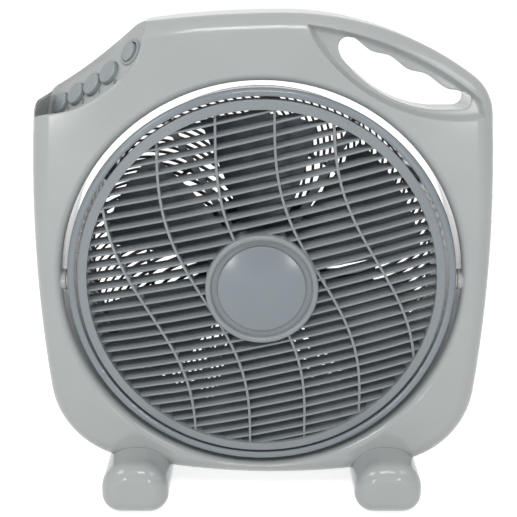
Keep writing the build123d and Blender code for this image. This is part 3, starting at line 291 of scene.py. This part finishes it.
grille_plastic = plastic("grille_plastic", (0.075, 0.078, 0.08), (0.06, 0.063, 0.066),
                         (0.40, 0.55), edge=0.0004, dust=0.25)
switch_plastic = plastic("switch_plastic", (0.018, 0.018, 0.02), (0.026, 0.026, 0.028),
                         (0.42, 0.6), pebble=2600.0, bump=0.12, dust=0.12)
rocker_plastic = plastic("rocker_plastic", (0.31, 0.34, 0.35), (0.29, 0.32, 0.33),
                         (0.25, 0.35), edge=0.0004, dust=0.08)
capacitor_plastic = plastic("capacitor_plastic", (0.10, 0.11, 0.12), (0.08, 0.09, 0.10),
                            (0.35, 0.5), dust=0.12)
washer_nylon = plastic("washer_nylon", (0.66, 0.64, 0.56), (0.58, 0.55, 0.46),
                       (0.38, 0.5), edge=0.0003, dust=0.05)
pad_rubber = plastic("pad_rubber", (0.02, 0.02, 0.02), (0.03, 0.029, 0.028),
                     (0.7, 0.85), pebble=900.0, bump=0.3, dust=0.35)
screw_steel = metal("screw_steel", (0.52, 0.52, 0.50), (0.40, 0.38, 0.33), (0.25, 0.42))
pin_steel = metal("pin_steel", (0.58, 0.58, 0.59), (0.46, 0.46, 0.46),
                  (0.14, 0.28), fineness=1500.0)
motor_casting = metal("motor_casting", (0.46, 0.47, 0.48), (0.36, 0.36, 0.36),
                      (0.42, 0.62), fineness=400.0, bump=0.22)
bearing_bronze = metal("bearing_bronze", (0.50, 0.33, 0.14), (0.36, 0.22, 0.09), (0.35, 0.5))
core_steel = layered_metal("core_steel", (0.24, 0.24, 0.25), (0.16, 0.14, 0.12),
                           (0.35, 0.55), 0.0010, "Y", 0.25)
copper_wire = layered_metal("copper_wire", (0.62, 0.22, 0.07), (0.42, 0.13, 0.04),
                            (0.22, 0.36), 0.0012, "DIAGONAL", 0.5)

worn_by = {
    frame_plastic: ("front_frame", "rear_frame", "foot_left", "foot_right"),
    button_plastic: ("speed_button_0", "speed_button_1", "speed_button_2", "speed_button_3"),
    rocker_plastic: ("louvre_switch_rocker", "louvre_switch_body"),
    drum_plastic: ("drum_shell", "hub_cap"),
    louvre_plastic: ("louvre_wheel",),
    spider_plastic: ("front_spider",),
    blade_plastic: ("impeller", "impeller_nut"),
    grille_plastic: ("rear_grille", "rear_motor_cover"),
    switch_plastic: ("push_switch_block", "cord_gland", "louvre_motor"),
    capacitor_plastic: ("run_capacitor",),
    washer_nylon: ("pivot_washers",),
    pad_rubber: ("foot_pads",),
    screw_steel: ("frame_screws", "foot_screws", "switch_block_screws", "spider_screws",
                  "louvre_motor_screws", "motor_bolts", "grille_screws", "cover_screws", "louvre_screw",
                  "pivot_push_nuts"),
    pin_steel: ("pivot_pin_left", "pivot_pin_right", "motor_shaft", "louvre_shaft", "drive_pin"),
    motor_casting: ("motor_front_bracket", "motor_rear_bracket"),
    bearing_bronze: ("front_bearing", "rear_bearing"),
    core_steel: ("stator_core", "rotor"),
    copper_wire: ("stator_windings",),
}
for finish, names in worn_by.items():
    for name in names:
        nodes[name].data.materials.clear()
        nodes[name].data.materials.append(finish)

# The CAD meshes are loose triangles: join them, keep sharp edges, and shade the rest smooth.
for piece in nodes.values():
    piece.data.polygons.foreach_set("use_smooth", np.ones(len(piece.data.polygons), bool))
    joined = piece.modifiers.new("joined", "WELD")
    joined.merge_threshold = 0.000004
    creased = piece.modifiers.new("creased", "EDGE_SPLIT")
    creased.split_angle = math.radians(24)
    creased.use_edge_sharp = False
    evened = piece.modifiers.new("evened", "WEIGHTED_NORMAL")
    evened.weight = 60
    evened.keep_sharp = False


# Printed numbers beside the push buttons

def zero_line(steps=40):
    """A closed ellipse."""
    turn = np.linspace(0, 2 * np.pi, steps)
    return np.stack([0.30 * np.cos(turn), 0.5 * np.sin(turn)], axis=1)


def one_line():
    """A short flag and an upright."""
    return np.array([[-0.20, 0.30], [-0.02, 0.5], [0.0, 0.5], [0.0, 0.2], [0.0, -0.5]])


def two_line(steps=24):
    """An arch of 200 degrees, a straight run down to the left and a base."""
    turn = np.radians(np.linspace(170, -35, steps))
    arch = np.stack([0.29 * np.cos(turn), 0.21 + 0.29 * np.sin(turn)], axis=1)
    return np.vstack([arch, [[-0.28, -0.46], [-0.30, -0.5], [-0.24, -0.5], [0.32, -0.5]]])


def three_line(steps=22):
    """Two bows, one over the other, that meet at a waist."""
    high = np.radians(np.linspace(155, -80, steps))
    low = np.radians(np.linspace(80, -155, steps))
    bow_high = np.stack([0.25 * np.cos(high), 0.26 + 0.24 * np.sin(high)], axis=1)
    bow_low = np.stack([0.29 * np.cos(low), -0.22 + 0.28 * np.sin(low)], axis=1)
    return np.vstack([bow_high, bow_low])


def stroke(name, line, centre, across, upward, height, width, lift):
    """A flat ribbon: the line is moved half a width to each side along its own normal."""
    run = np.gradient(line, axis=0)
    run /= np.linalg.norm(run, axis=1, keepdims=True) + 1e-9
    side = np.stack([-run[:, 1], run[:, 0]], axis=1) * width / height / 2
    flat = np.stack([line - side, line, line + side])
    out = np.cross(across, upward)
    points = centre + height * (flat[..., :1] * across + flat[..., 1:] * upward) + lift * out
    return grid_mesh(name, points)


ink = plastic("printed_ink", (0.05, 0.05, 0.055), (0.09, 0.09, 0.095),
              (0.45, 0.6), edge=0.0001, dust=0.05, mottle=400.0)
press_axis = np.array(next(j["axis"] for j in frame["joints"] if j["name"] == "button_1_press"))
panel_out = -press_axis / np.linalg.norm(press_axis)
button_height = 0.0043
crown = 0.0002                         # a button's top disc lies within this of its highest point
digit_height = 0.0042
digit_stroke = 0.0009
ink_lift = 0.00008


def button_foot(name):
    """Where a button's axis meets the control floor: the middle of its top disc, less its height."""
    points = node_points(name)
    level = points @ panel_out
    top = points[level > level.max() - crown]
    middle = (top.min(axis=0) + top.max(axis=0)) / 2
    return middle + panel_out * (level.max() - middle @ panel_out - button_height)


row = button_foot("speed_button_1") - button_foot("speed_button_3")
row /= np.linalg.norm(row)
row_up = np.cross(panel_out, row)
# each number's line, and its place from the button's foot along the row and up from it
digits = {
    "3": (three_line(), 0.0108, -0.0102),
    "2": (two_line(), 0.0095, -0.0112),
    "1": (one_line(), 0.0098, -0.0112),
    "0": (zero_line(), 0.0082, -0.0124),
}
for digit, (line, along, upward) in digits.items():
    centre = button_foot(f"speed_button_{digit}") + along * row + upward * row_up
    printed = stroke(f"number_{digit}", line, centre, row, row_up, digit_height, digit_stroke, ink_lift)
    printed.data.materials.append(ink)
    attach(printed, "frame")


# Floor, light and camera

def floor_plane(reach=9.0, cells=24):
    """A level grid at height zero, its cells finest in the middle: a signed square of an even spacing."""
    even = np.linspace(-1, 1, cells + 1)
    line = np.sign(even) * even**2 * reach
    x, y = np.meshgrid(line, line, indexing="ij")
    return grid_mesh("studio_floor", np.stack([x, y, np.zeros_like(x)], axis=-1))


floor = floor_plane()
floor_paint, tree, shader = blank_finish("studio_floor")
shader.inputs["Base Color"].default_value = (0.9, 0.9, 0.9, 1)
shader.inputs["Roughness"].default_value = 0.9
shader.inputs["Specular IOR Level"].default_value = 0.1
floor_glow = 0.76                      # brings the lit floor up to white, and keeps its shadow
shine = math_of(tree, "MULTIPLY", seen_of(tree), floor_glow)
glow = put(tree, "ShaderNodeEmission", None, Color=(1, 1, 1, 1), Strength=shine)
both = put(tree, "ShaderNodeAddShader", None, _0=shader.outputs[0], _1=glow.outputs[0])
tree.links.new(both.outputs[0], tree.nodes["Material Output"].inputs[0])
floor.data.materials.append(floor_paint)

world = bpy.data.worlds.new("studio")
scene.world = world
world.use_nodes = True
tree = world.node_tree
tree.nodes.clear()
room_light = 0.40
room = put(tree, "ShaderNodeBackground", None, Color=(1, 1, 1, 1), Strength=room_light)
sheet = put(tree, "ShaderNodeBackground", None, Color=(1, 1, 1, 1), Strength=1.0)
mixed = put(tree, "ShaderNodeMixShader", None, _0=seen_of(tree), _1=room.outputs[0], _2=sheet.outputs[0])
tree.links.new(mixed.outputs[0], put(tree, "ShaderNodeOutputWorld").inputs[0])


def softbox(name, place, target, width, height, power):
    """A rectangular lamp that faces a point."""
    lamp = bpy.data.lights.new(name, "AREA")
    lamp.shape = "RECTANGLE"
    lamp.size, lamp.size_y, lamp.energy = width, height, power
    holder = bpy.data.objects.new(name, lamp)
    away = np.array(place, float) - np.array(target, float)
    away /= np.linalg.norm(away)
    across = np.cross((0, 0, 1), away)
    across /= np.linalg.norm(across)
    upward = np.cross(away, across)
    turn = np.eye(4)
    turn[:3, 0], turn[:3, 1], turn[:3, 2], turn[:3, 3] = across, upward, away, place
    holder.matrix_world = Matrix(turn.tolist())
    scene.collection.objects.link(holder)
    return holder


fan_middle = (0, 0, 0.24)
slim, broad, wide = (0.22, 0.32), (0.8, 0.6), (0.7, 0.4)
softbox("left_lamp", (-0.66, -1.95, 0.24), fan_middle, *slim, power=3.0)
softbox("right_lamp", (0.66, -1.95, 0.24), fan_middle, *slim, power=2.2)
softbox("high_left_lamp", (-1.3, -0.9, 1.5), fan_middle, *broad, power=9.0)
softbox("high_right_lamp", (1.3, -0.9, 1.5), fan_middle, *broad, power=4.2)
softbox("high_front_lamp", (0.05, -1.3, 1.55), fan_middle, *wide, power=8.5)

look_down = 16.95                      # degrees below level
camera_data = bpy.data.cameras.new("camera")
camera_data.sensor_width = 36.0
camera_data.lens = 67.9
camera = bpy.data.objects.new("camera", camera_data)
camera.location = (-0.00294, -0.9019, 0.5042)
camera.rotation_euler = (math.radians(90 - look_down), 0, 0)
scene.collection.objects.link(camera)
scene.camera = camera
